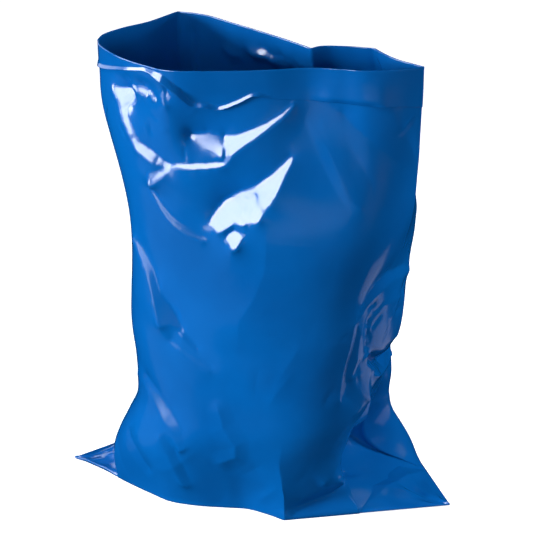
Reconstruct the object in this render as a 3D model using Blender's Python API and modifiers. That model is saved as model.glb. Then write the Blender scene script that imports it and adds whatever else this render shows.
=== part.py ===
"""A heavy-duty film picking sack that stands open, as Blender objects.

The sack is a tube of blown film, 500 mm wide laid flat, welded straight across its bottom end.
Here it is opened out and stands on its base. The weld runs under the base from one bottom corner
to the other. The two corners lie out on the floor as flat, double ears, and each one swings up
on the crease at the foot of the wall. The mouth is turned down outwards into a cuff.

+X runs from the left ear to the right one, -Y is the front, and +Z is up. The origin is on the
floor, at the middle of the object's box.
"""

import bisect
import math

import bpy
from mathutils import Matrix, Vector

# Driving dimensions, in metres.
RIM_HEIGHT = 0.530  # floor to the bend at the top of the cuff
FILM = 0.001  # wall of every film solid; it stands in for film of 0.15 mm
GAP = 0.0003  # kept between solids that touch on the real sack
CUFF_DEPTH = 0.050  # how far the turned-down film hangs
CUFF_CLEAR = 0.0015  # between the wall and the ply that hangs outside it
CUFF_STOP = 0.0014  # from each side fold to the end of a half of the cuff
BASE_INSET = 0.0025  # from the wall's outline on the floor to the base film's edge
WELD_WIDTH = 0.008
WELD_THICKNESS = 0.0015
WELD_BOW = 0.065  # the weld's middle lies this far back under the base, so it is 500 mm long
EAR_THICKNESS = 0.002  # two plies of film pressed together
EAR_CREASE_OUT = 0.005  # from the foot of the wall to the crease that an ear swings on
EAR_CREASE_HEIGHT = 0.002
EAR_ROOT_CLEAR = 0.001  # from that crease to the ear's own solid
COLUMNS = 32  # faces from one side fold to the other
FINE_STEPS = 240  # steps along an outline before it is spaced evenly

SACK_BLUE = (0.010, 0.135, 0.475, 1.0)
WELD_BLUE = (0.007, 0.095, 0.360, 1.0)

# The bottom of the tube on the floor: two triangular ears, joined by the base's four corners.
LEFT_TIP = (-0.232, -0.032)
RIGHT_TIP = (0.232, -0.032)
BASE_FRONT_LEFT = (-0.068, -0.121)
BASE_FRONT_RIGHT = (0.058, -0.120)
BASE_BACK_LEFT = (-0.136, 0.131)
BASE_BACK_RIGHT = (0.132, 0.143)
LEFT_EAR_SIDES = (0.078, 0.068)  # from the tip to the wall, along the front edge and the back edge
RIGHT_EAR_SIDES = (0.108, 0.096)

# The tube's two side folds above the base, where the front film meets the back film, as height,
# x and y. At the floor, each is at the middle of its ear's crease.
LEFT_FOLD = (
    (0.000, -0.184, -0.024), (0.030, -0.178, -0.025), (0.060, -0.166, -0.027),
    (0.090, -0.152, -0.029), (0.120, -0.140, -0.032), (0.165, -0.141, -0.033),
    (0.215, -0.145, -0.035), (0.300, -0.141, -0.036), (0.375, -0.144, -0.038),
    (0.430, -0.155, -0.040), (0.480, -0.178, -0.043), (0.530, -0.185, -0.045),
)
RIGHT_FOLD = (
    (0.000, 0.170, -0.020), (0.030, 0.154, -0.024), (0.060, 0.144, -0.027),
    (0.090, 0.147, -0.031), (0.120, 0.151, -0.033), (0.165, 0.149, -0.034),
    (0.215, 0.160, -0.035), (0.270, 0.167, -0.035), (0.320, 0.175, -0.036),
    (0.375, 0.183, -0.038), (0.480, 0.184, -0.043), (0.530, 0.194, -0.045),
)
FRONT_REACH = -0.1425
BACK_REACH = 0.134
ROUNDNESS = 2.6  # of the tube's cross-section: 2 is an ellipse, and more is squarer

# The mouth's outline at the rim, from the left fold to the right fold.
MOUTH = {
    "front": ((-0.185, -0.045), (-0.150, -0.098), (-0.097, -0.138), (-0.021, -0.132),
              (0.063, -0.096), (0.141, -0.088), (0.180, -0.066), (0.194, -0.045)),
    "back": ((-0.185, -0.045), (-0.178, 0.030), (-0.140, 0.095), (-0.080, 0.085),
             (-0.020, 0.043), (0.052, 0.000), (0.120, 0.010), (0.172, -0.020), (0.194, -0.045)),
}
BASE_END = 0.110  # height at which the tube has lost the base's outline
MOUTH_START = 0.300  # height from which it turns into the mouth's outline

WALL_HEIGHTS = (0.0, 0.012, 0.025, 0.040, 0.055, 0.070, 0.085, 0.102, 0.120, 0.142, 0.165,
                0.190, 0.215, 0.242, 0.270, 0.300, 0.335, 0.375, 0.405, 0.430, 0.455,
                RIM_HEIGHT - CUFF_DEPTH, RIM_HEIGHT - CUFF_DEPTH / 2)
EDGE_AT_MOUTH = 0.0012  # how far each film stops short of its sharp fold at the rim


# Outlines ---------------------------------------------------------------------------------------

def spline(p0, p1, p2, p3, t):
    """Catmull-Rom value between p1 and p2."""
    return 0.5 * (2 * p1 + (p2 - p0) * t + (2 * p0 - 5 * p1 + 4 * p2 - p3) * t ** 2
                  + (3 * p1 - p0 - 3 * p2 + p3) * t ** 3)


def smooth_share(value, start, stop):
    """0 before start, 1 after stop, and smooth between them."""
    share = min(max((value - start) / (stop - start), 0.0), 1.0)
    return share * share * (3 - 2 * share)


def evenly(points, count, start=0.0, stop=0.0):
    """count + 1 points spaced evenly along a line, start and stop metres in from its ends."""
    lengths = [0.0]
    for a, b in zip(points, points[1:]):
        lengths.append(lengths[-1] + (b - a).length)
    found = []
    for k in range(count + 1):
        at = start + (lengths[-1] - start - stop) * k / count
        i = min(max(bisect.bisect_right(lengths, at) - 1, 0), len(points) - 2)
        share = (at - lengths[i]) / (lengths[i + 1] - lengths[i])
        found.append(points[i].lerp(points[i + 1], share))
    return found


def fold_at(fold, height):
    """A side fold's place at a height, straight between its points."""
    levels = [point[0] for point in fold]
    i = min(max(bisect.bisect_right(levels, height) - 1, 0), len(fold) - 2)
    share = (height - levels[i]) / (levels[i + 1] - levels[i])
    return Vector(fold[i][1:]).lerp(Vector(fold[i + 1][1:]), share)


def tube_line(side, height):
    """One film's fine outline at a height, from the left fold to the right fold."""
    left, right = fold_at(LEFT_FOLD, height), fold_at(RIGHT_FOLD, height)
    reach = FRONT_REACH if side == "front" else BACK_REACH
    points = []
    for k in range(FINE_STEPS + 1):
        across = -math.cos(math.pi * k / FINE_STEPS)
        place = left.lerp(right, (across + 1) / 2)
        out = max(1 - abs(across) ** ROUNDNESS, 0.0) ** (1 / ROUNDNESS)
        points.append(Vector((place.x, place.y + (reach - place.y) * out)))
    return points


def mouth_line(side):
    """The rim's fine outline for one film, a smooth curve through MOUTH's points."""
    knots = [Vector(p) for p in MOUTH[side]]
    ends = [2 * knots[0] - knots[1]] + knots + [2 * knots[-1] - knots[-2]]
    steps = FINE_STEPS // (len(knots) - 1)
    points = []
    for k in range(len(knots) - 1):
        points += [spline(*ends[k:k + 4], j / steps) for j in range(steps)]
    return points + [knots[-1]]


def ear_root(tip, front_corner, back_corner, sides, nearer=0.0):
    """Where an ear's front and back edges meet the wall, or some metres nearer to its tip."""
    tip = Vector(tip)
    return [tip + (Vector(corner) - tip).normalized() * (length - nearer)
            for corner, length in zip((front_corner, back_corner), sides)]


def left_root(nearer=0.0):
    return ear_root(LEFT_TIP, BASE_FRONT_LEFT, BASE_BACK_LEFT, LEFT_EAR_SIDES, nearer)


def right_root(nearer=0.0):
    return ear_root(RIGHT_TIP, BASE_FRONT_RIGHT, BASE_BACK_RIGHT, RIGHT_EAR_SIDES, nearer)


def base_line(side):
    """The wall's foot on the floor for one film, from the left ear's middle to the right's."""
    lefts, rights = left_root(), right_root()
    if side == "front":
        middle = [lefts[0], Vector(BASE_FRONT_LEFT), Vector(BASE_FRONT_RIGHT), rights[0]]
    else:
        middle = [lefts[1], Vector(BASE_BACK_LEFT), Vector(BASE_BACK_RIGHT), rights[1]]
    return [sum(lefts, Vector((0, 0))) / 2] + middle + [sum(rights, Vector((0, 0))) / 2]


def film_line(side, height, inset=0.0, out=0.0):
    """COLUMNS + 1 points along a film at a height, stopped short of its folds and moved out."""
    base = 1 - smooth_share(height, 0.0, BASE_END)
    mouth = smooth_share(height, MOUTH_START, RIM_HEIGHT)
    lines = [evenly(line, FINE_STEPS)
             for line in (tube_line(side, height), base_line(side), mouth_line(side))]
    mixed = [t * (1 - base - mouth) + b * base + m * mouth for t, b, m in zip(*lines)]
    points = evenly(mixed, COLUMNS, inset, inset)
    outwards = 1 if side == "front" else -1
    moved = []
    for k, p in enumerate(points):
        along = points[min(k + 1, COLUMNS)] - points[max(k - 1, 0)]
        moved.append(p + Vector((along.y, -along.x)).normalized() * outwards * out)
    return moved


# Building blocks --------------------------------------------------------------------------------

def clear_scene():
    for obj in list(bpy.data.objects):
        bpy.data.objects.remove(obj, do_unlink=True)


def plastic(name, colour, roughness):
    """A glossy polyethylene film."""
    material = bpy.data.materials.new(name)
    material.use_nodes = True
    shader = material.node_tree.nodes["Principled BSDF"]
    shader.inputs["Base Color"].default_value = colour
    shader.inputs["Roughness"].default_value = roughness
    shader.inputs["Metallic"].default_value = 0.0
    return material


def add(collection, obj, material, parent=None):
    collection.objects.link(obj)
    obj.data.materials.append(material)
    obj.parent = parent
    return obj


def film_sheet(name, rows, side):
    """An open loft through rows of points, thickened inwards by one film."""
    wide = len(rows[0])
    vertices = [p for row in rows for p in row]
    faces = []
    for j in range(len(rows) - 1):
        for i in range(wide - 1):
            a = j * wide + i
            face = (a, a + 1, a + wide + 1, a + wide)
            faces.append(face if side == "front" else face[::-1])
    mesh = bpy.data.meshes.new(name)
    mesh.from_pydata(vertices, [], faces)
    mesh.shade_smooth()
    sheet = bpy.data.objects.new(name, mesh)
    shell = sheet.modifiers.new("film", "SOLIDIFY")
    shell.thickness = FILM
    shell.offset = -1
    shell.use_even_offset = True
    return sheet


def flat_plate(name, outline, thickness):
    """A flat outline in its own XY plane, thickened upwards from that plane."""
    curve = bpy.data.curves.new(name, "CURVE")
    curve.dimensions = "2D"
    curve.fill_mode = "BOTH"
    curve.extrude = thickness / 2
    line = curve.splines.new("POLY")
    line.points.add(len(outline) - 1)
    for point, (x, y) in zip(line.points, outline):
        point.co = (x, y, 0, 1)
    line.use_cyclic_u = True
    plate = bpy.data.objects.new(name, curve)
    plate.location.z = thickness / 2
    return plate


# The sack's pieces ------------------------------------------------------------------------------

def wall(side):
    """The front or back film, from the floor to just under the cuff's bend."""
    rows = []
    for height in WALL_HEIGHTS + (RIM_HEIGHT - FILM - GAP,):
        inset = GAP / 2 + EDGE_AT_MOUTH * smooth_share(height, MOUTH_START, RIM_HEIGHT)
        rows.append([(p.x, p.y, height) for p in film_line(side, height, inset)])
    return film_sheet(f"{side}_film", rows, side)


def cuff(side):
    """The film that turns over at the rim and hangs down outside the wall."""
    outside = CUFF_CLEAR + FILM
    profile = (
        (outside, RIM_HEIGHT - CUFF_DEPTH),
        (outside, RIM_HEIGHT - CUFF_DEPTH / 2),
        (outside, RIM_HEIGHT - FILM),
        (outside - FILM, RIM_HEIGHT),
        (-FILM, RIM_HEIGHT),
    )
    rows = []
    for out, height in profile:
        rows.append([(p.x, p.y, height) for p in film_line(side, height, CUFF_STOP, out)])
    return film_sheet(f"{side}_cuff", rows, side)


def weld_at(share):
    """A point on the weld's middle line under the base, from the left ear (0) to the right (1)."""
    foot = base_line("front")
    return foot[0].lerp(foot[-1], share) + Vector((0, WELD_BOW * 4 * share * (1 - share)))


def weld_line(aside):
    """The weld's line under the base, moved aside towards the back."""
    margin = 2 * BASE_INSET / (weld_at(1) - weld_at(0)).length
    centres = [weld_at(margin + (1 - 2 * margin) * k / COLUMNS) for k in range(COLUMNS + 1)]
    points = []
    for k, p in enumerate(centres):
        along = centres[min(k + 1, COLUMNS)] - centres[max(k - 1, 0)]
        points.append(p + Vector((-along.y, along.x)).normalized() * aside)
    return points


def base_plate(side):
    """The part of a film that lies on the floor, from its wall to the weld."""
    way = -1 if side == "front" else 1
    clear = WELD_WIDTH / 2 + GAP
    left, right = weld_at(0), weld_at(1)
    outline = []
    for p in film_line("front", 0.0, 0.0, -BASE_INSET) + film_line("back", 0.0, 0.0, -BASE_INSET)[::-1]:
        share = min(max((p.x - left.x) / (right.x - left.x), 0.0), 1.0)
        if way * (p.y - weld_at(share).y) > 2 * clear:
            outline.append(p)
    inner = weld_line(way * clear)
    return flat_plate(f"{side}_base_film", outline + (inner[::-1] if side == "front" else inner), FILM)


def bottom_weld():
    """The fused band across the tube's bottom end, under the base."""
    half = WELD_WIDTH / 2
    return flat_plate("bottom_weld", weld_line(-half) + weld_line(half)[::-1], WELD_THICKNESS)


def ear(collection, name, tip, root, film, weld):
    """A flat corner of the tube and the end of the weld under it, on an empty on its crease."""
    front, back = root
    sign = 1 if tip[0] > 0 else -1
    along = (back - front).normalized()
    outwards = Vector((along.y, -along.x)) * sign
    crease = bpy.data.objects.new(f"{name}_crease", None)
    collection.objects.link(crease)
    middle = (front + back) / 2
    out, way = outwards.to_3d(), (along * sign).to_3d()
    turn = Matrix((out, way, out.cross(way))).transposed().to_4x4()
    crease.matrix_world = Matrix.Translation((middle.x, middle.y, EAR_CREASE_HEIGHT)) @ turn

    def flat(point):
        return Vector(((point - middle).dot(outwards), (point - middle).dot(along) * sign))

    tip = flat(Vector(tip))
    corners = []
    for corner in (flat(front), flat(back)):
        corners.append(corner.lerp(tip, EAR_ROOT_CLEAR / tip.x))
    if sign < 0:
        corners.reverse()
    plies = flat_plate(name, [corners[0], tip, corners[1]], EAR_THICKNESS)
    plies.location.z = WELD_THICKNESS + GAP - EAR_CREASE_HEIGHT + EAR_THICKNESS / 2

    start, stop = Vector((EAR_ROOT_CLEAR, 0)), tip * (1 - WELD_WIDTH / tip.x)
    aside = Vector((-tip.y, tip.x)).normalized() * WELD_WIDTH / 2
    band = flat_plate(f"{name}_weld", [start - aside, stop - aside, stop + aside, start + aside],
                      WELD_THICKNESS)
    band.location.z = WELD_THICKNESS / 2 - EAR_CREASE_HEIGHT
    add(collection, plies, film, crease)
    add(collection, band, weld, crease)


def main():
    clear_scene()
    sack = bpy.data.collections.new("picking_sack")
    bpy.context.scene.collection.children.link(sack)
    film = plastic("sack_film", SACK_BLUE, 0.22)
    weld = plastic("weld_film", WELD_BLUE, 0.30)
    for side in ("front", "back"):
        add(sack, wall(side), film)
        add(sack, cuff(side), film)
        add(sack, base_plate(side), film)
    add(sack, bottom_weld(), weld)
    ear(sack, "left_ear", LEFT_TIP, left_root(EAR_CREASE_OUT), film, weld)
    ear(sack, "right_ear", RIGHT_TIP, right_root(EAR_CREASE_OUT), film, weld)


main()
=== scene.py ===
"""The looks of the film picking sack: one creased tube of glossy film with its turned-down cuff,
its two corner ears, and its base with the weld across it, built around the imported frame.

A place on the film is given as it lies flat, in metres: how far round the tube from the left side
fold (0 to 0.5 is the front film, 0.5 to 1 the back film, read from right to left), and how high up.
"""

import math

import bpy
import numpy as np
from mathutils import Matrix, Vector


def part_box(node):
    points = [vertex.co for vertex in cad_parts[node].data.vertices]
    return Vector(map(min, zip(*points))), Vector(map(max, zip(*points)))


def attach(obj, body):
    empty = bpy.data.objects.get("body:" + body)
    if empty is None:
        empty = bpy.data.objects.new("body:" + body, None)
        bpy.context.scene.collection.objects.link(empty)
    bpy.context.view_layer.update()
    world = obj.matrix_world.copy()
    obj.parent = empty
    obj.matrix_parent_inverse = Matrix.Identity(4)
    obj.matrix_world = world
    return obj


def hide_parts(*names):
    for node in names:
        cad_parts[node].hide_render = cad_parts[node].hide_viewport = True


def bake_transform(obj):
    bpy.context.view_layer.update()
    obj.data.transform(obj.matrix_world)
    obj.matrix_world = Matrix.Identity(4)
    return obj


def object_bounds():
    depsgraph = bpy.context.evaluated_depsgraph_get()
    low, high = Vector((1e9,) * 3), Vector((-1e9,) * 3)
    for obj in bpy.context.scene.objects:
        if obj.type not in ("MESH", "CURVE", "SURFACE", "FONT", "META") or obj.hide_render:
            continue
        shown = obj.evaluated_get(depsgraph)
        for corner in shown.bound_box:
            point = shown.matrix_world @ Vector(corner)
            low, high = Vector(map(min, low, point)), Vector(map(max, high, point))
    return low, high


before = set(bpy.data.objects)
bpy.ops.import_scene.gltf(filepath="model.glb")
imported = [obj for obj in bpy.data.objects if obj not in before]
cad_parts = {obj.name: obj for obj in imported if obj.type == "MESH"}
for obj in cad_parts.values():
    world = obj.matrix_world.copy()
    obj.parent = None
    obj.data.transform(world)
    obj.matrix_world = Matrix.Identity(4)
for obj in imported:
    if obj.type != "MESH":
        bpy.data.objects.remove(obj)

CAD_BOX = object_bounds()

# Sizes in metres -------------------------------------------------------------------------------
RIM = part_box("front_cuff")[1].z
LEFT_TIP = (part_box("left_ear")[0].x, -0.032)
RIGHT_TIP = (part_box("right_ear")[1].x, -0.032)
BASE_FRONT_LEFT = (-0.068, -0.121)
BASE_FRONT_RIGHT = (0.059, -0.126)
BASE_BACK_LEFT = (-0.136, 0.131)
BASE_BACK_RIGHT = (0.132, 0.143)
LEFT_EAR_SIDES = (0.078, 0.068)  # from the tip to the wall, along the front edge and the back edge
RIGHT_EAR_SIDES = (0.108, 0.096)

FILM = 0.0003  # thickness shown
HALF = 0.5  # the tube's width laid flat
FINE_STEP = 0.0016  # of the grid where the film is creased most
PLAIN_STEP = 0.004
CREASED = (-0.06, 0.60)  # this stretch round the tube has the fine grid
FRONT_REACH = -0.1425  # y of the front and back films' middles, half way up
BACK_REACH = 0.134
ROUNDNESS = 2.6  # of the tube's outline there: 2 is an ellipse, and more is squarer
BASE_END = 0.110  # below this height the outline turns into the foot's
MOUTH_START = 0.300  # above this one it turns into the mouth's
EAR_PULL = 0.090  # how far round from a side fold the wall flares out to the ear
OUTLINE_STEPS = 300
FIRM, SLACK = 4.0, 0.12  # how much a leaning facet and the film between them resist
SLACK_REACH = 0.055  # over this distance slack film comes back to the smooth tube
SLACK_ROUNDS = 500  # of the solve for it

# The side folds, as height, x and y.
LEFT_FOLD = (
    (0.000, -0.184, -0.024), (0.030, -0.178, -0.025), (0.060, -0.166, -0.027),
    (0.090, -0.152, -0.029), (0.120, -0.140, -0.032), (0.165, -0.141, -0.033),
    (0.215, -0.145, -0.035), (0.300, -0.141, -0.036), (0.375, -0.144, -0.038),
    (0.430, -0.155, -0.040), (0.480, -0.178, -0.043), (0.530, -0.185, -0.045),
)
RIGHT_FOLD = (
    (0.000, 0.170, -0.020), (0.030, 0.154, -0.024), (0.060, 0.144, -0.027),
    (0.090, 0.147, -0.031), (0.120, 0.151, -0.033), (0.165, 0.149, -0.034),
    (0.215, 0.156, -0.035), (0.260, 0.160, -0.035), (0.320, 0.174, -0.036),
    (0.375, 0.183, -0.038), (0.480, 0.184, -0.043), (0.530, 0.194, -0.045),
)

# The mouth's outline at the rim. Each run is a smooth curve, and the runs meet in sharp corners.
MOUTH_FRONT = (
    ((-0.185, -0.045), (-0.172, -0.070), (-0.136, -0.107), (-0.096, -0.132), (-0.066, -0.142),
     (-0.014, -0.128), (0.030, -0.111), (0.075, -0.088), (0.110, -0.083), (0.139, -0.081),
     (0.170, -0.067), (0.194, -0.048)),
)
MOUTH_BACK = (
    ((-0.185, -0.045), (-0.186, -0.020), (-0.174, 0.012), (-0.155, 0.045), (-0.138, 0.097)),
    ((-0.138, 0.097), (-0.101, 0.091), (-0.062, 0.067), (-0.031, 0.048), (0.016, 0.017),
     (0.056, -0.012)),
    ((0.056, -0.012), (0.066, 0.002), (0.095, 0.008), (0.123, 0.008)),
    ((0.123, 0.008), (0.156, -0.026), (0.194, -0.048)),
)

# The foot's outline on the floor, between the ears, in the same way.
FOOT_FRONT = ((-0.140, -0.084), (-0.110, -0.101), (-0.082, -0.115), (-0.048, -0.117),
              (-0.013, -0.112), (0.010, -0.109), (0.036, -0.116), BASE_FRONT_RIGHT)
FOOT_BACK = ((-0.168, 0.075), (-0.148, 0.112), (-0.118, 0.131), (-0.060, 0.134), (0.000, 0.136),
             (0.060, 0.139), (0.110, 0.141), (0.138, 0.128), (0.160, 0.096))

# How far the cuff hangs down, round the tube.
CUFF_DROP = (
    (0.000, 0.027), (0.040, 0.024), (0.100, 0.013), (0.145, 0.006), (0.165, 0.012), (0.188, 0.027),
    (0.206, 0.041), (0.222, 0.042), (0.240, 0.045), (0.262, 0.038), (0.284, 0.029), (0.305, 0.032),
    (0.340, 0.035), (0.383, 0.037), (0.427, 0.039), (0.470, 0.042), (0.500, 0.046), (0.560, 0.050),
    (0.660, 0.049), (0.760, 0.050), (0.860, 0.048), (0.940, 0.036), (1.000, 0.027),
)
CUFF_ROWS = 12
RIM_RADIUS = 0.0008  # of the bend over the rim
CUFF_CLEAR = 0.0005  # between the cuff and the wall
CUFF_SWING = 0.0052  # how far the front cuff hangs away from the wall on the right
SETTLED = 0.80  # the part of the creases that dies out towards the rim
# How the cuff's edge turns out, round the tube: over what width, and how far.
CURL_WIDTH = ((0.000, 0.0045), (0.060, 0.0040), (0.130, 0.0036), (0.150, 0.0060), (0.170, 0.0100),
              (0.190, 0.0100), (0.205, 0.0050), (0.240, 0.0042), (0.300, 0.0035), (0.355, 0.0035),
              (0.390, 0.0046), (0.430, 0.0046), (0.450, 0.0038), (1.000, 0.0045))
CURL_OUT = ((0.000, 0.0012), (0.020, 0.0024), (0.060, 0.0030), (0.130, 0.0026), (0.150, 0.0044),
            (0.170, 0.0078), (0.190, 0.0078), (0.205, 0.0040), (0.222, 0.0046), (0.240, 0.0036),
            (0.290, 0.0026), (0.305, 0.0000), (0.355, 0.0000), (0.390, -0.0044),
            (0.430, -0.0044), (0.450, 0.0000), (0.500, 0.0000), (0.940, 0.0004), (1.000, 0.0012))
PLY_LEVEL = 0.0010  # of the film that lies on the floor, over the weld
WELD_WIDTH = 0.008
WELD_THICK = 0.0008
WELD_RIBS = 9
EAR_TENT = 0.011  # height of an ear's upper ply where it leaves the wall
EAR_TENT_REACH = 0.017
EAR_TUCK = 0.30  # how far the plies run on under the wall, as a share of the ear
WELD_BOW = 0.065  # how far the weld curves back under the base
LEFT_EAR_LIFT = 0.0035  # of the left ear's front edge, which turns up a little

CAMERA_TURN = 16.8  # degrees to the right of the front
CAMERA_FAR = 3.0
CAMERA_HIGH = 1.36
CAMERA_TARGET = (0, 0, 0.26)
CAMERA_LENS = 185.7  # mm, on a sensor 36 mm wide


# Curves and shares -----------------------------------------------------------------------------

def smooth(value, start, stop):
    """0 before start, 1 after stop, and smooth between them."""
    share = np.clip((value - start) / (stop - start), 0.0, 1.0)
    return share * share * (3 - 2 * share)


def evenly(points, count):
    """count + 1 points spaced evenly along a line."""
    steps = np.linalg.norm(np.diff(points, axis=0), axis=1)
    lengths = np.concatenate(([0.0], np.cumsum(steps)))
    at = np.linspace(0.0, lengths[-1], count + 1)
    return np.stack([np.interp(at, lengths, column) for column in points.T], axis=1)


def curve(knots, steps=24):
    """A Catmull-Rom curve through the knots."""
    knots = np.array(knots, float)
    ends = np.vstack([2 * knots[0] - knots[1], knots, 2 * knots[-1] - knots[-2]])
    t = (np.arange(steps) / steps)[:, None]
    runs = []
    for p0, p1, p2, p3 in zip(ends, ends[1:], ends[2:], ends[3:]):
        runs.append(0.5 * (2 * p1 + (p2 - p0) * t + (2 * p0 - 5 * p1 + 4 * p2 - p3) * t ** 2
                           + (3 * p1 - p0 - 3 * p2 + p3) * t ** 3))
    return np.vstack(runs + [knots[-1:]])


def steady(table, at):
    """A value that runs smoothly through a table of (place, value)."""
    line = curve(table)
    return np.interp(at, line[:, 0], line[:, 1])


def fold_at(fold, height):
    """Where a side fold is, in plan, at a height."""
    levels, x, y = curve(fold).T
    return np.array((np.interp(height, levels, x), np.interp(height, levels, y)))


# The smooth tube -------------------------------------------------------------------------------

def ear_root(tip, front_corner, back_corner, sides):
    """The two points where an ear's edges leave the wall."""
    tip = np.array(tip)
    ways = [np.array(corner) - tip for corner in (front_corner, back_corner)]
    return [tip + way / np.linalg.norm(way) * length for way, length in zip(ways, sides)]


LEFT_ROOT = ear_root(LEFT_TIP, BASE_FRONT_LEFT, BASE_BACK_LEFT, LEFT_EAR_SIDES)
RIGHT_ROOT = ear_root(RIGHT_TIP, BASE_FRONT_RIGHT, BASE_BACK_RIGHT, RIGHT_EAR_SIDES)


def base_line(back):
    """One film's foot on the floor, from the left ear's middle to the right ear's."""
    middle = FOOT_BACK if back else FOOT_FRONT
    return np.vstack([[sum(LEFT_ROOT) / 2], curve((LEFT_ROOT[back], *middle)),
                      [RIGHT_ROOT[back], sum(RIGHT_ROOT) / 2]])


def tube_line(back, height):
    """One film half way up, from the left fold to the right one."""
    left, right = fold_at(LEFT_FOLD, height), fold_at(RIGHT_FOLD, height)
    across = -np.cos(np.pi * np.arange(OUTLINE_STEPS + 1) / OUTLINE_STEPS)
    share = ((across + 1) / 2)[:, None]
    line = left + (right - left) * share
    reach = BACK_REACH if back else FRONT_REACH
    out = (1 - np.abs(across) ** ROUNDNESS) ** (1 / ROUNDNESS)
    line[:, 1] += (reach - line[:, 1]) * out
    return line


def mouth_line(back):
    """One film at the rim, from the left fold to the right one."""
    return np.vstack([curve(run) for run in (MOUTH_BACK if back else MOUTH_FRONT)])


def outline(height):
    """The closed outline at a height, evenly spaced along each film from the left fold round.
    The foot stands up in the middle of a film and flares out in a hollow curve near the ears."""
    share = np.linspace(0, 1, OUTLINE_STEPS + 1)
    near_ear = np.exp(-((0.5 - np.abs(share - 0.5)) * HALF / EAR_PULL) ** 2)[:, None]
    rise = min(height / BASE_END, 1.0)
    base = (1 - smooth(height, 0.0, BASE_END)) * (1 - near_ear) + (1 - rise) ** 3 * near_ear
    mouth = smooth(height, MOUTH_START, RIM)
    lines = []
    for back in (False, True):
        tube, foot, rim = [evenly(line, OUTLINE_STEPS) for line in
                           (tube_line(back, height), base_line(back), mouth_line(back))]
        lines.append(evenly(tube * (1 - base - mouth) + foot * base + rim * mouth, OUTLINE_STEPS))
    return np.vstack([lines[0], lines[1][::-1][1:]])


def around(step_from, step_to, step):
    return np.arange(step_from, step_to - step / 2, step)


ROUND = np.concatenate([around(0.0, CREASED[1], FINE_STEP),
                        around(CREASED[1], 1 + CREASED[0], PLAIN_STEP),
                        around(1 + CREASED[0], 1.0, FINE_STEP)])
HEIGHTS = np.append(around(0.0, RIM - RIM_RADIUS, FINE_STEP), RIM - RIM_RADIUS)
FLAT_ROUND = np.linspace(0.0, 2 * HALF, 2 * OUTLINE_STEPS + 1)


def smooth_wall():
    """The tube's smooth surface: points and outward normals, as rows of heights."""
    rows = []
    for height in HEIGHTS:
        line = outline(height)
        x, y = (np.interp(ROUND, FLAT_ROUND, line[:, k]) for k in (0, 1))
        rows.append(np.stack([x, y, np.full(len(ROUND), height)], axis=1))
    points = np.array(rows)
    along = np.roll(points, -1, axis=1) - np.roll(points, 1, axis=1)
    up = np.gradient(points, axis=0)
    normals = np.cross(along, up)
    return points, normals / np.linalg.norm(normals, axis=2, keepdims=True)


# Creases ---------------------------------------------------------------------------------------

S, H = np.meshgrid(np.where(ROUND > 0.84, ROUND - 1.0, ROUND), HEIGHTS)


def crease(line, height, left, right, sharp=1.5, ends=0.15, crest=0.0008):
    """A ridge along a line on the flat film (a valley where height is negative). left and right are
    the widths of its flanks on the two sides of someone who walks along it."""
    line = np.array(line, float)
    steps = np.linalg.norm(np.diff(line, axis=0), axis=1)
    before = np.concatenate(([0.0], np.cumsum(steps)))
    nearest = np.full(S.shape, 9.0)
    side = np.zeros(S.shape)
    place = np.zeros(S.shape)
    for k, (a, b) in enumerate(zip(line, line[1:])):
        way = (b - a) / steps[k]
        ds, dh = S - a[0], H - a[1]
        along = np.clip(ds * way[0] + dh * way[1], 0.0, steps[k])
        off_s, off_h = ds - along * way[0], dh - along * way[1]
        distance = np.hypot(off_s, off_h)
        closer = distance < nearest
        nearest = np.where(closer, distance, nearest)
        side = np.where(closer, way[0] * dh - way[1] * ds, side)
        place = np.where(closer, (before[k] + along) / before[-1], place)
    width = np.where(side > 0, left, right)
    off = (np.hypot(nearest, crest) - crest) / width
    taper = smooth(place, 0.0, ends) * smooth(1 - place, 0.0, ends) if ends else 1.0
    return height * np.clip(1 - off, 0.0, 1.0) ** sharp * taper


def crumple(centre, spread, count, length, height, seed):
    """Small random creases scattered round a centre."""
    random = np.random.default_rng(seed)
    total = np.zeros(S.shape)
    for _ in range(count):
        s, h = random.normal(centre, spread)
        turn = random.uniform(0, math.pi)
        reach = length * random.uniform(0.5, 1.0)
        ds, dh = math.cos(turn) * reach, math.sin(turn) * reach
        bend = random.uniform(-0.2, 0.2)
        line = ((s - ds, h - dh), (s - dh * bend, h + ds * bend), (s + ds, h + dh))
        total += crease(line, height * random.uniform(-1, 1), reach * random.uniform(0.2, 0.6),
                        reach * random.uniform(0.3, 0.9), 2.0, 0.4, 0.001)
    return total


def inside(outline, s, h):
    """Which places lie inside a closed outline on the flat film."""
    found = np.zeros(s.shape, bool)
    for (s0, h0), (s1, h1) in zip(outline, outline[1:] + outline[:1]):
        crosses = (h0 > h) != (h1 > h)
        found ^= crosses & (s < (s1 - s0) * (h - h0) / ((h1 - h0) or 1e-9) + s0)
    return found


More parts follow.
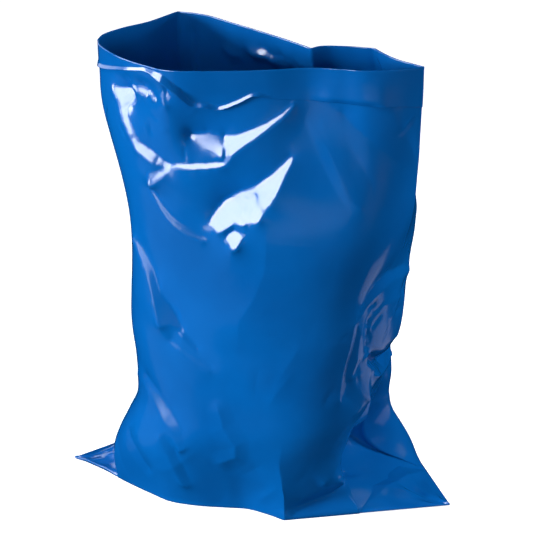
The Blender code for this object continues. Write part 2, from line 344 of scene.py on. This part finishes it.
def leaning(facets):
    """How far the film stands out when each facet leans by its slopes (round the tube, upwards)
    and the slack film between them takes up the rest as gently as it can."""
    s, h = np.meshgrid(np.arange(*CREASED, FINE_STEP), np.arange(0.0, RIM, FINE_STEP))
    stiff = np.full(s.shape, SLACK)
    slope = np.zeros((2, *s.shape))
    for lean, outline in facets:
        here = inside(outline, s, h)
        stiff[here] = FIRM
        slope[:, here] = np.array(lean)[:, None]
    stiff_s, stiff_h = (stiff[:, 1:] + stiff[:, :-1]) / 2, (stiff[1:] + stiff[:-1]) / 2
    slope_s = (slope[0][:, 1:] * stiff[:, 1:] + slope[0][:, :-1] * stiff[:, :-1]) / 2
    slope_h = (slope[1][1:] * stiff[1:] + slope[1][:-1] * stiff[:-1]) / 2

    def spread(round_part, up_part):
        total = np.zeros(s.shape)
        total[:, 1:] += round_part
        total[:, :-1] -= round_part
        total[1:] += up_part
        total[:-1] -= up_part
        return total / FINE_STEP

    hold = np.full(s.shape, SLACK / SLACK_REACH ** 2)
    hold[[0, -1]] = FIRM * 10 / FINE_STEP ** 2

    def pull(out):
        return spread(stiff_s * np.diff(out, axis=1) / FINE_STEP,
                      stiff_h * np.diff(out, axis=0) / FINE_STEP) + hold * out

    scale = stiff * 4 / FINE_STEP ** 2 + hold
    out = np.zeros(s.shape)
    rest = spread(slope_s, slope_h)
    way = ready = rest / scale
    power = (rest * ready).sum()
    for _ in range(SLACK_ROUNDS):
        pulled = pull(way)
        length = power / (way * pulled).sum()
        out = out + length * way
        rest = rest - length * pulled
        ready = rest / scale
        power, before = (rest * ready).sum(), power
        way = ready + power / before * way
    columns = (S - CREASED[0]) / FINE_STEP
    rows = H / FINE_STEP
    i = np.clip(columns.astype(int), 0, s.shape[1] - 2)
    j = np.clip(rows.astype(int), 0, s.shape[0] - 2)
    u, v = np.clip(columns - i, 0, 1), np.clip(rows - j, 0, 1)
    total = (out[j, i] * (1 - u) + out[j, i + 1] * u) * (1 - v)
    total += (out[j + 1, i] * (1 - u) + out[j + 1, i + 1] * u) * v
    near = smooth(S, CREASED[0], CREASED[0] + 0.04) * (1 - smooth(S, CREASED[1] - 0.04, CREASED[1]))
    return blur(total * near, 0.0009)


def blur(field, reach):
    """Averages a field over about reach metres each way."""
    for axis in (0, 1):
        for _ in range(max(1, round((reach / FINE_STEP) ** 2 * 2))):
            ahead, behind = np.roll(field, -1, axis), np.roll(field, 1, axis)
            if axis == 0:
                ahead[-1], behind[0] = field[-1], field[0]
            field = field * 0.5 + (ahead + behind) * 0.25
    return field


# Facets: the slopes that each leans at (round the tube, upwards), and its outline laid flat.
# The shoulder has a run of narrow facets down from the left, and two broad fans to the right of it.
SHOULDER = (
    ((-0.52, -0.66), ((0.068, 0.490), (0.086, 0.493), (0.100, 0.494), (0.103, 0.488),
                      (0.100, 0.478), (0.094, 0.468), (0.089, 0.474), (0.078, 0.484))),
    ((-0.50, -0.80), ((0.090, 0.474), (0.097, 0.476), (0.103, 0.464), (0.112, 0.452),
                      (0.120, 0.440), (0.118, 0.437), (0.110, 0.447), (0.100, 0.459))),
    ((-0.46, -0.84), ((0.118, 0.437), (0.120, 0.440), (0.134, 0.434), (0.143, 0.430),
                      (0.154, 0.422), (0.166, 0.4195), (0.164, 0.4165), (0.156, 0.417),
                      (0.146, 0.420), (0.133, 0.426), (0.122, 0.432))),
    ((0.06, -0.72), ((0.164, 0.4200), (0.193, 0.4220), (0.216, 0.4238), (0.241, 0.4278),
                     (0.244, 0.4255), (0.239, 0.4232), (0.215, 0.4198), (0.185, 0.4180),
                     (0.165, 0.4172))),
    ((0.42, -0.52), ((0.245, 0.456), (0.262, 0.457), (0.281, 0.463), (0.300, 0.471),
                     (0.320, 0.482), (0.332, 0.491), (0.332, 0.487), (0.320, 0.477),
                     (0.300, 0.465), (0.284, 0.455), (0.269, 0.447), (0.259, 0.441),
                     (0.251, 0.433), (0.244, 0.427), (0.243, 0.430), (0.246, 0.440),
                     (0.245, 0.448))),
    ((0.18, -0.44), ((0.204, 0.455), (0.214, 0.453), (0.226, 0.447), (0.236, 0.441),
                     (0.242, 0.438), (0.243, 0.448), (0.242, 0.455), (0.224, 0.458))),
    ((0.28, -0.58), ((0.198, 0.4525), (0.210, 0.4495), (0.222, 0.4435), (0.232, 0.4380),
                     (0.2395, 0.4320), (0.2420, 0.4370), (0.236, 0.4420), (0.225, 0.4475),
                     (0.212, 0.4535), (0.203, 0.4560))),
    ((-0.20, -0.70), ((0.158, 0.416), (0.164, 0.414), (0.157, 0.407), (0.146, 0.399),
                      (0.136, 0.393), (0.142, 0.403), (0.150, 0.411))),
    ((-0.30, -0.50), ((0.168, 0.509), (0.171, 0.508), (0.171, 0.497), (0.174, 0.488),
                      (0.171, 0.488), (0.168, 0.494), (0.166, 0.502))),
    ((-0.26, -0.46), ((0.106, 0.499), (0.120, 0.503), (0.133, 0.503), (0.137, 0.498),
                      (0.132, 0.494), (0.122, 0.494))),
    ((-0.30, -0.60), ((0.140, 0.497), (0.144, 0.499), (0.152, 0.493), (0.150, 0.490))),
    ((0.37, -0.46), ((0.259, 0.396), (0.274, 0.401), (0.287, 0.409), (0.299, 0.415),
                     (0.313, 0.425), (0.327, 0.435), (0.328, 0.430), (0.320, 0.420),
                     (0.312, 0.410), (0.304, 0.398), (0.292, 0.384), (0.284, 0.377),
                     (0.268, 0.388))),
    ((0.28, -0.50), ((0.243, 0.390), (0.257, 0.396), (0.267, 0.388), (0.282, 0.376),
                     (0.276, 0.366), (0.268, 0.364), (0.260, 0.366), (0.252, 0.380))),
    ((0.22, -0.62), ((0.222, 0.376), (0.230, 0.383), (0.242, 0.389), (0.251, 0.380),
                     (0.258, 0.366), (0.255, 0.361), (0.248, 0.361), (0.240, 0.366))),
    ((0.16, -0.62), ((0.211, 0.364), (0.220, 0.375), (0.239, 0.366), (0.238, 0.358),
                     (0.229, 0.354), (0.220, 0.350), (0.214, 0.355))),
    ((0.18, -0.60), ((0.232, 0.350), (0.240, 0.354), (0.249, 0.353), (0.250, 0.343),
                     (0.245, 0.335), (0.239, 0.334), (0.235, 0.341))),
    ((-0.20, -0.59), ((0.131, 0.389), (0.135, 0.388), (0.148, 0.371), (0.163, 0.358),
                      (0.182, 0.348), (0.202, 0.341), (0.201, 0.338), (0.181, 0.344),
                      (0.161, 0.354), (0.146, 0.367))),
)
# Long slanting folds down the left side.
LEFT_SIDE = (
    ((-0.57, -0.44), ((0.078, 0.316), (0.092, 0.304), (0.111, 0.282), (0.127, 0.258),
                     (0.137, 0.240), (0.144, 0.226), (0.155, 0.231), (0.174, 0.224),
                     (0.163, 0.238), (0.149, 0.252), (0.134, 0.264), (0.120, 0.286),
                     (0.102, 0.304), (0.084, 0.318))),
    ((-0.30, -0.42), ((0.172, 0.224), (0.197, 0.206), (0.195, 0.203), (0.170, 0.219))),
    ((-0.12, -0.30), ((0.157, 0.212), (0.186, 0.200), (0.220, 0.186), (0.216, 0.180),
                      (0.184, 0.192), (0.155, 0.206))),
    ((-0.10, -0.36), ((0.095, 0.150), (0.120, 0.140), (0.149, 0.124), (0.176, 0.104),
                      (0.193, 0.082), (0.186, 0.078), (0.165, 0.098), (0.136, 0.116),
                      (0.112, 0.132), (0.087, 0.142))),
    ((-0.30, -0.20), ((0.156, 0.094), (0.178, 0.076), (0.192, 0.052), (0.196, 0.030),
                      (0.186, 0.030), (0.180, 0.050), (0.168, 0.072), (0.152, 0.088))),
)
# The crumple at half height on the right, and one fold low down.
RIGHT_SIDE = (
    ((0.16, -0.47), ((0.520, 0.284), (0.550, 0.270), (0.519, 0.274), (0.487, 0.277),
                     (0.455, 0.271), (0.437, 0.262), (0.426, 0.256), (0.412, 0.248),
                     (0.425, 0.261), (0.434, 0.271), (0.452, 0.281), (0.475, 0.287))),
    ((-0.18, -0.05), ((0.412, 0.248), (0.426, 0.256), (0.448, 0.258), (0.443, 0.252),
                      (0.432, 0.246), (0.430, 0.236), (0.426, 0.226), (0.419, 0.236))),
    ((-0.42, 0.06), ((0.410, 0.242), (0.416, 0.238), (0.415, 0.226), (0.413, 0.210),
                     (0.410, 0.198), (0.407, 0.178), (0.406, 0.162), (0.396, 0.146),
                     (0.399, 0.158), (0.404, 0.180), (0.406, 0.200), (0.409, 0.220))),
    ((0.40, 0.00), ((0.416, 0.224), (0.422, 0.226), (0.420, 0.206), (0.422, 0.194),
                    (0.417, 0.176), (0.409, 0.168), (0.411, 0.190), (0.415, 0.210))),
    ((-0.20, -0.02), ((0.429, 0.226), (0.433, 0.222), (0.435, 0.210), (0.438, 0.196),
                      (0.423, 0.196), (0.421, 0.206), (0.422, 0.218))),
    ((0.05, -0.05), ((0.438, 0.194), (0.461, 0.176), (0.455, 0.168), (0.453, 0.156),
                     (0.458, 0.136), (0.443, 0.148), (0.430, 0.162), (0.417, 0.172),
                     (0.423, 0.180), (0.428, 0.190))),
    ((-0.30, -0.05), ((0.404, 0.172), (0.415, 0.170), (0.405, 0.154), (0.399, 0.148))),
    ((0.25, 0.05), ((0.440, 0.240), (0.470, 0.250), (0.520, 0.250), (0.520, 0.200),
                    (0.470, 0.200), (0.442, 0.206))),
    ((0.30, -0.20), ((0.478, 0.088), (0.492, 0.098), (0.515, 0.106), (0.540, 0.100),
                     (0.531, 0.090), (0.523, 0.082), (0.504, 0.080))),
)
# The skirt that runs down to the right ear, and the strip along its top edge.
FOOT = (
    ((0.28, -1.15), ((0.332, 0.000), (0.352, 0.008), (0.381, 0.014), (0.413, 0.026),
                     (0.432, 0.039), (0.453, 0.045), (0.476, 0.051), (0.504, 0.055),
                     (0.527, 0.061), (0.552, 0.064), (0.560, 0.000))),
    ((-0.05, 0.60), ((0.336, 0.006), (0.352, 0.012), (0.381, 0.018), (0.410, 0.029),
                     (0.408, 0.037), (0.380, 0.029), (0.350, 0.020))),
)
# Very soft facets below the cuff on the right.
UPPER_RIGHT = (
    ((0.10, 0.03), ((0.349, 0.475), (0.374, 0.442), (0.384, 0.416), (0.390, 0.389),
                    (0.406, 0.378), (0.386, 0.384), (0.373, 0.410), (0.362, 0.437),
                    (0.354, 0.458))),
    ((-0.10, -0.03), ((0.370, 0.470), (0.382, 0.475), (0.397, 0.453), (0.411, 0.432),
                      (0.424, 0.405), (0.422, 0.390), (0.406, 0.394), (0.394, 0.421),
                      (0.381, 0.446))),
    ((0.09, 0.05), ((0.395, 0.482), (0.455, 0.482), (0.466, 0.467), (0.488, 0.435),
                    (0.491, 0.418), (0.459, 0.429), (0.429, 0.453), (0.406, 0.472))),
    ((-0.08, -0.02), ((0.462, 0.482), (0.469, 0.482), (0.488, 0.459), (0.496, 0.438),
                      (0.490, 0.436), (0.474, 0.460))),
)


def soft_corner():
    """The front turns away a little to the right of its middle."""
    return crease(((0.286, 0.374), (0.283, 0.345), (0.281, 0.310), (0.272, 0.276),
                   (0.256, 0.246), (0.254, 0.200)), 0.005, 0.085, 0.090, 1.3, 0.25)


def foot_creases():
    """Where the wall meets the ears and settles on the floor."""
    total = crease(((0.372, 0.032), (0.410, 0.060), (0.455, 0.084)), 0.0035, 0.020, 0.016)
    total += crease(((0.420, 0.022), (0.450, 0.036), (0.490, 0.042)), -0.0030, 0.008, 0.008)
    total += crease(((0.405, 0.020), (0.427, 0.038), (0.445, 0.048), (0.464, 0.054), (0.490, 0.058),
                     (0.512, 0.060), (0.545, 0.060)), -0.0110, 0.007, 0.004, 1.2, 0.25)
    total += crease(((0.440, 0.046), (0.464, 0.056), (0.490, 0.061), (0.515, 0.063)),
                    -0.0070, 0.011, 0.004, 1.2, 0.4)
    total += crease(((0.445, 0.192), (0.480, 0.176), (0.520, 0.165), (0.580, 0.166)),
                    -0.0090, 0.016, 0.008)
    total += crease(((0.465, 0.164), (0.500, 0.155), (0.540, 0.150), (0.590, 0.152)),
                    0.0060, 0.007, 0.018)
    total += crease(((0.222, 0.150), (0.235, 0.114), (0.259, 0.092), (0.262, 0.076),
                     (0.230, 0.060)), 0.0024, 0.018, 0.018)
    total += crease(((0.080, 0.080), (0.110, 0.060), (0.140, 0.030)), -0.0024, 0.016, 0.016)
    return total


def back_creases():
    """The back film's soft folds, and the wrinkles just inside the mouth."""
    total = crease(((0.56, 0.46), (0.62, 0.40), (0.66, 0.30)), -0.005, 0.030, 0.030, 1.6, 0.3)
    total += crease(((0.66, 0.47), (0.70, 0.42), (0.72, 0.36)), 0.005, 0.030, 0.024, 1.6, 0.3)
    total += crease(((-0.25, 0.40), (-0.20, 0.35), (-0.12, 0.33), (-0.06, 0.36)),
                    0.005, 0.024, 0.030)
    total += crease(((0.60, 0.24), (0.66, 0.20), (0.74, 0.22)), 0.005, 0.024, 0.020)
    total += crease(((-0.155, 0.545), (-0.155, 0.40)), 0.007, 0.010, 0.012, 1.5, 0.0)
    total += crease(((0.765, 0.512), (0.748, 0.500), (0.728, 0.503), (0.704, 0.494)),
                    -0.0060, 0.012, 0.018, 1.5, 0.3)
    total += crease(((0.740, 0.518), (0.722, 0.506), (0.700, 0.508)), 0.0040, 0.012, 0.012)
    total += crease(((0.800, 0.500), (0.786, 0.490), (0.770, 0.494)), -0.0030, 0.014, 0.014)
    total += crease(((0.590, 0.534), (0.580, 0.515), (0.574, 0.490)), 0.006, 0.010, 0.012, 1.5, 0.2)
    total += crease(((0.64, 0.16), (0.70, 0.12), (0.78, 0.13)), -0.004, 0.020, 0.024)
    total += crease(((-0.20, 0.24), (-0.14, 0.18), (-0.10, 0.10)), 0.004, 0.026, 0.020)
    return total


def all_creases():
    total = leaning(SHOULDER + LEFT_SIDE + RIGHT_SIDE + UPPER_RIGHT + FOOT)
    total += soft_corner() + foot_creases() + back_creases()
    total += crumple((0.12, 0.48), (0.04, 0.03), 26, 0.016, 0.0009, 11)
    total += crumple((0.46, 0.20), (0.05, 0.05), 24, 0.018, 0.0010, 12)
    total += crumple((0.243, 0.366), (0.012, 0.008), 10, 0.007, 0.00018, 13)
    total += crease(((0.262, 0.364), (0.270, 0.378), (0.276, 0.396)), -0.0004, 0.006, 0.005)
    total += crease(((0.250, 0.364), (0.256, 0.378), (0.262, 0.392)), -0.0004, 0.005, 0.006)
    total += crumple((0.66, 0.495), (0.05, 0.014), 14, 0.026, 0.0028, 17)
    total += crumple((0.70, 0.25), (0.12, 0.14), 60, 0.040, 0.0022, 14)
    total += crumple((0.25, 0.10), (0.14, 0.06), 30, 0.045, 0.0010, 15)
    settle = smooth(H, 0.0, 0.012) * (1 - SETTLED * smooth(H, RIM - 0.030, RIM - 0.004))
    return total * settle


# Meshes ----------------------------------------------------------------------------------------

def grid_mesh(name, rows, closed):
    """A quad grid through rows of points, closed round or not."""
    rows = np.array(rows)
    tall, wide = rows.shape[:2]
    index = np.arange(tall * wide).reshape(tall, wide)
    nexts = np.roll(index, -1, axis=1)
    if not closed:
        index, nexts = index[:, :-1], nexts[:, :-1]
    quads = np.stack([index[:-1], nexts[:-1], nexts[1:], index[1:]], axis=-1).reshape(-1, 4)
    mesh = bpy.data.meshes.new(name)
    mesh.from_pydata(rows.reshape(-1, 3).tolist(), [], quads.tolist())
    mesh.shade_smooth()
    mesh.update()
    obj = bpy.data.objects.new(name, mesh)
    bpy.context.scene.collection.objects.link(obj)
    return obj


def thicken(obj, thickness):
    """Gives a surface its thickness, on its inner side."""
    shell = obj.modifiers.new("film", "SOLIDIFY")
    shell.thickness = thickness
    shell.offset = -1.0


def sack_film():
    """The wall, the bend at the rim and the cuff, as one film."""
    points, normals = smooth_wall()
    moved = points + normals * all_creases()[:, :, None]
    rows = list(moved)
    top = moved[-1].copy()
    out = normals[-1].copy()
    out[:, 2] = 0
    out /= np.linalg.norm(out, axis=1, keepdims=True)
    for turn in (30, 60, 90, 120, 150, 180):
        c, s = math.cos(math.radians(turn)), math.sin(math.radians(turn))
        bend = top + out * RIM_RADIUS * (1 - c)
        bend[:, 2] = RIM - RIM_RADIUS * (1 - s)
        rows.append(bend)
    drop = steady(CUFF_DROP, ROUND)
    curl_width = np.minimum(np.interp(ROUND, *np.array(CURL_WIDTH).T), drop * 0.7)
    curl_out = np.interp(ROUND, *np.array(CURL_OUT).T)
    gap = CUFF_SWING * smooth(ROUND, 0.350, 0.385) * (1 - smooth(ROUND, 0.440, 0.470))
    heights = np.array([row[0, 2] for row in moved])
    falls = [RIM_RADIUS + (drop - curl_width - RIM_RADIUS) * k / CUFF_ROWS
             for k in range(1, CUFF_ROWS)]
    falls += [drop - curl_width * (1 - k / 6) for k in range(7)]
    for fall in falls:
        level = RIM - fall
        share = fall / drop
        turned = np.clip(1 - (drop - fall) / curl_width, 0.0, 1.0)
        away = CUFF_CLEAR + RIM_RADIUS * (1 - share) + gap * share ** 1.5 + curl_out * turned
        j = np.clip(np.searchsorted(heights, level), 1, len(heights) - 1)
        t = ((level - heights[j - 1]) / (heights[j] - heights[j - 1]))[:, None]
        at = np.arange(len(ROUND))
        row = moved[j - 1, at] * (1 - t) + moved[j, at] * t + out * away[:, None]
        row[:, 2] = level
        rows.append(row)
    film = grid_mesh("sack_film", rows, True)
    thicken(film, FILM)
    return film


# Ears, base and weld ---------------------------------------------------------------------------

def ear(name, tip, root, lift, seed):
    """A bottom corner: two plies that meet at the folded edges. The upper one runs up the wall's
    flared foot like a tent, and both are tucked in under the wall."""
    tip = np.array(tip)
    front, back = root
    random = np.random.default_rng(seed)
    waves = [(random.uniform(8, 22), random.uniform(0, 6.28), random.uniform(3, 9))
             for _ in range(5)]
    reach = np.linalg.norm(tip - (front + back) / 2)
    across, along = np.meshgrid(np.linspace(0, 1, 45), np.linspace(-EAR_TUCK, 0.995, 70))
    plan = (front + (back - front) * across[..., None]) * (1 - along[..., None])
    plan = plan + tip * along[..., None]
    middle = np.sin(np.pi * across)
    low = np.full(across.shape, PLY_LEVEL)
    turned_up = (1 - across) ** 3 * smooth(along, -0.05, 0.35) * (1 - smooth(along, 0.70, 0.99))
    tent = EAR_TENT * np.exp(-np.maximum(along, 0) * reach / EAR_TENT_REACH) * middle ** 0.7
    for size, phase, tilt in waves:
        tent = tent + 0.0007 * middle * np.sin(across * size + along * tilt + phase)
    folds = 0.0030 * np.clip(1 - np.abs(across - 0.40 - 0.22 * along) / 0.14, 0, 1) ** 1.4
    folds += 0.0026 * np.clip(1 - np.abs(across - 0.72 + 0.12 * along) / 0.10, 0, 1) ** 1.4
    folds -= 0.0020 * np.clip(1 - np.abs(across - 0.56) / 0.08, 0, 1) ** 1.4
    top = low + 0.0005 + np.maximum(tent + folds * (1 - smooth(along, 0.2, 0.9)) * middle, 0.0)
    sign = 1 if tip[0] > 0 else -1
    upper = np.dstack([plan, top + lift * turned_up])
    tuck = (back - front) / np.linalg.norm(back - front) * lift
    lower = np.dstack([plan + tuck * turned_up[..., None], low])
    if sign < 0:
        upper, lower = upper[:, ::-1], lower[:, ::-1]
    loop = np.concatenate([upper, lower[:, ::-1]], axis=1)
    piece = grid_mesh(name, loop, True)
    thicken(piece, FILM)
    return piece


def weld_at(share):
    """A place on the weld under the base, from the left ear to the right one."""
    foot = base_line(False)
    point = foot[0] + (foot[-1] - foot[0]) * share
    return point + np.array((0.0, WELD_BOW * 4 * share * (1 - share)))


def band(name, centres, width, thickness):
    """A flat ribbed band along a line of points on the floor."""
    centres = np.array(centres)
    way = np.gradient(centres, axis=0)
    way /= np.linalg.norm(way, axis=1, keepdims=True)
    side = np.stack([-way[:, 1], way[:, 0]], axis=1)
    rows = []
    for k in range(2 * WELD_RIBS + 1):
        aside = (k / (2 * WELD_RIBS) - 0.5) * width
        line = centres + side * aside
        height = thickness * (0.55 + 0.45 * (k % 2))
        rows.append(np.column_stack([line, np.full(len(line), height)]))
    piece = grid_mesh(name, rows, False)
    thicken(piece, thickness * 0.5)
    return piece


def base_film(name, back):
    """The part of one film that lies on the floor, from the wall's foot to the weld."""
    line = outline(0.0)
    half = line[:OUTLINE_STEPS + 1] if not back else line[OUTLINE_STEPS:][::-1]
    count = 90
    foot = evenly(half, count)
    shares = np.clip((foot[:, 0] - foot[0, 0]) / (foot[-1, 0] - foot[0, 0]), 0, 1)
    weld = np.array([weld_at(share) for share in shares])
    rows = []
    for k in range(25):
        share = k / 24
        plan = foot * (1 - share) + weld * share
        wave = np.sin(plan[:, 0] * 70 + 2 * back) * np.sin(plan[:, 1] * 55 + plan[:, 0] * 30)
        height = PLY_LEVEL + 0.0016 * (wave + 1) * math.sin(math.pi * share)
        rows.append(np.column_stack([plan, height]))
    if back:
        rows = [row[::-1] for row in rows]
    piece = grid_mesh(name, rows, False)
    thicken(piece, FILM)
    return piece


# Materials -------------------------------------------------------------------------------------

def film_material(name, colour, deep, roughness):
    """Glossy blown film: soft shifts of colour and gloss, fine draw lines and tiny wrinkles."""
    material = bpy.data.materials.new(name)
    material.use_nodes = True
    nodes, links = material.node_tree.nodes, material.node_tree.links
    shader = nodes["Principled BSDF"]
    place = nodes.new("ShaderNodeTexCoord").outputs["Object"]

    def noise(scale, detail, stretch=(1, 1, 1)):
        spread = nodes.new("ShaderNodeMapping")
        spread.inputs["Scale"].default_value = stretch
        links.new(place, spread.inputs["Vector"])
        texture = nodes.new("ShaderNodeTexNoise")
        texture.inputs["Scale"].default_value = scale
        texture.inputs["Detail"].default_value = detail
        links.new(spread.outputs["Vector"], texture.inputs["Vector"])
        return texture.outputs["Fac"]

    def ramp(factor, low, high):
        steps = nodes.new("ShaderNodeValToRGB")
        steps.color_ramp.elements[0].position = 0.35
        steps.color_ramp.elements[1].position = 0.65
        steps.color_ramp.elements[0].color = low
        steps.color_ramp.elements[1].color = high
        links.new(factor, steps.inputs["Fac"])
        return steps.outputs["Color"]

    def grey(value):
        return (value, value, value, 1)

    links.new(ramp(noise(9, 4), deep, colour), shader.inputs["Base Color"])
    links.new(ramp(noise(26, 5), grey(roughness * 0.8), grey(roughness * 1.3)),
              shader.inputs["Roughness"])
    shader.inputs["IOR"].default_value = 1.5
    shader.inputs["Specular IOR Level"].default_value = 0.5

    lines = nodes.new("ShaderNodeBump")
    lines.inputs["Strength"].default_value = 0.05
    lines.inputs["Distance"].default_value = 0.0006
    links.new(noise(420, 2, (1, 1, 0.03)), lines.inputs["Height"])
    wrinkles = nodes.new("ShaderNodeBump")
    wrinkles.inputs["Strength"].default_value = 0.20
    wrinkles.inputs["Distance"].default_value = 0.0015
    links.new(noise(38, 3), wrinkles.inputs["Height"])
    links.new(lines.outputs["Normal"], wrinkles.inputs["Normal"])
    links.new(wrinkles.outputs["Normal"], shader.inputs["Normal"])
    return material


def floor_material():
    material = bpy.data.materials.new("pale_floor")
    material.use_nodes = True
    shader = material.node_tree.nodes["Principled BSDF"]
    shader.inputs["Base Color"].default_value = (0.86, 0.86, 0.87, 1)
    shader.inputs["Roughness"].default_value = 0.9
    shader.inputs["Emission Color"].default_value = (0.95, 0.97, 1.0, 1)
    shader.inputs["Emission Strength"].default_value = 0.85
    return material


# The whole sack --------------------------------------------------------------------------------

FILM_BLUE = film_material("blue_film", (0.001, 0.130, 0.480, 1), (0.001, 0.108, 0.410, 1), 0.155)
WELD_BLUE = film_material("blue_weld", (0.004, 0.090, 0.360, 1), (0.003, 0.070, 0.300, 1), 0.30)


def finish_piece(piece, material, nodes):
    piece.data.materials.append(material)
    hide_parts(*nodes)


def crease_line(root, tip):
    """Where an ear bends: its middle on the floor, and the way out to its tip."""
    front, back = (Vector(p) for p in root)
    way = (back - front).normalized()
    out = Vector((way.y, -way.x)) * (1 if tip[0] > 0 else -1)
    return (front + back) / 2, out


def build_sack():
    film = sack_film()
    finish_piece(film, FILM_BLUE, ("front_film", "back_film", "front_cuff", "back_cuff"))
    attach(film, "sack")
    for side, back in (("front", 0), ("back", 1)):
        base = base_film(f"{side}_base", back)
        finish_piece(base, FILM_BLUE, (f"{side}_base_film",))
        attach(base, "sack")
    weld = band("base_weld", [weld_at(k / 120) for k in range(121)], WELD_WIDTH, WELD_THICK)
    finish_piece(weld, WELD_BLUE, ("bottom_weld",))
    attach(weld, "sack")
    for side, tip, root, lift, seed in (("left", LEFT_TIP, LEFT_ROOT, LEFT_EAR_LIFT, 3),
                                        ("right", RIGHT_TIP, RIGHT_ROOT, 0.0, 4)):
        middle, out = crease_line(root, tip)
        piece = ear(f"{side}_ear_film", tip, root, lift, seed)
        finish_piece(piece, FILM_BLUE, (f"{side}_ear",))
        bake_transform(piece)
        start, stop = np.array(middle + out * 0.007), np.array(tip) - np.array(out) * 0.008
        weld = band(f"{side}_ear_seal", [start + (stop - start) * k / 30 for k in range(31)],
                    WELD_WIDTH, WELD_THICK)
        finish_piece(weld, WELD_BLUE, (f"{side}_ear_weld",))
        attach(weld, f"{side}_corner")


def add_light(name, place, size, power, uses, colour=(1, 1, 1), target=(0, 0, 0.28)):
    """A softbox. It lights the film's own colour (diffuse) or shows only in its gloss (glossy)."""
    light = bpy.data.lights.new(name, "AREA")
    light.shape = "RECTANGLE"
    light.size, light.size_y = size
    light.energy = power
    light.color = colour
    obj = bpy.data.objects.new(name, light)
    bpy.context.scene.collection.objects.link(obj)
    obj.location = place
    obj.rotation_euler = (Vector(target) - Vector(place)).to_track_quat("-Z", "Y").to_euler()
    obj.visible_glossy = uses != "diffuse"
    obj.visible_diffuse = uses != "glossy"


def build_stage():
    """A pale floor, a dim room, and softboxes: some light the film's own colour, and some show
    only in its gloss."""
    mesh = bpy.data.meshes.new("floor")
    reach = 12.0
    level = CAD_BOX[0].z - 0.0003
    corners = [(-reach, -reach, level), (reach, -reach, level), (reach, reach, level),
               (-reach, reach, level)]
    mesh.from_pydata(corners, [], [(0, 1, 2, 3)])
    floor = bpy.data.objects.new("floor", mesh)
    bpy.context.scene.collection.objects.link(floor)
    floor.data.materials.append(floor_material())
    floor.visible_glossy = False
    floor.visible_diffuse = False
    world = bpy.data.worlds.new("studio")
    bpy.context.scene.world = world
    world.use_nodes = True
    world.node_tree.nodes["Background"].inputs["Color"].default_value = (0.93, 0.96, 1.0, 1)
    world.node_tree.nodes["Background"].inputs["Strength"].default_value = 0.13
    world.cycles_visibility.glossy = False
    add_light("key_left", (-2.35, -1.85, 0.68), (0.8, 0.7), 98, uses="diffuse")
    add_light("fill_front", (0.9, -2.8, 0.95), (1.4, 0.6), 17, uses="diffuse")
    add_light("top_back", (-0.2, 0.6, 1.9), (1.2, 1.2), 9, uses="diffuse")
    add_light("ear_light", (0.70, 0.35, 0.55), (0.4, 0.3), 4.2, uses="diffuse",
              target=(0.19, -0.05, 0.02))
    add_light("top_front", (-0.50, -1.00, 1.60), (0.6, 0.6), 4.5, uses="diffuse")
    add_light("softbox_left", (-1.05, -1.35, 1.85), (1.6, 1.35), 108, uses="glossy")
    add_light("softbox_edge", (-1.25, -0.75, 1.85), (2.4, 2.1), 40, uses="glossy")
    add_light("edge_left", (-1.43, 0.92, 0.80), (1.2, 0.7), 5, uses="glossy")
    add_light("floor_veil", (-1.00, -0.85, -0.012), (1.5, 1.5), 0.8, uses="glossy",
              target=(-1.00, -0.85, 1.0))
    add_light("wall_left", (-2.2, -0.3, 1.10), (1.3, 1.0), 60, uses="glossy")
    add_light("panel_left", (-1.6, -2.2, 0.95), (1.6, 0.7), 14, uses="glossy")
    add_light("floor_glow", (0.42, 0.14, -0.01), (0.30, 0.24), 0.14, uses="glossy",
              colour=(0.85, 0.82, 1.0), target=(0.42, 0.14, 1.0))
    add_light("side_right", (2.3, -1.2, 0.55), (1.0, 0.8), 5, uses="diffuse")


def build_camera():
    """A view from a little to the right of the front, and from above."""
    turn = math.radians(CAMERA_TURN)
    place = Vector((CAMERA_FAR * math.sin(turn), -CAMERA_FAR * math.cos(turn), CAMERA_HIGH))
    data = bpy.data.cameras.new("camera")
    data.sensor_width = 36.0
    data.lens = CAMERA_LENS
    data.clip_end = 60.0
    camera = bpy.data.objects.new("camera", data)
    bpy.context.scene.collection.objects.link(camera)
    camera.location = place
    camera.rotation_euler = (Vector(CAMERA_TARGET) - place).to_track_quat("-Z", "Y").to_euler()
    bpy.context.scene.camera = camera


build_camera()
build_sack()
build_stage()
bpy.context.scene.view_settings.view_transform = "Standard"
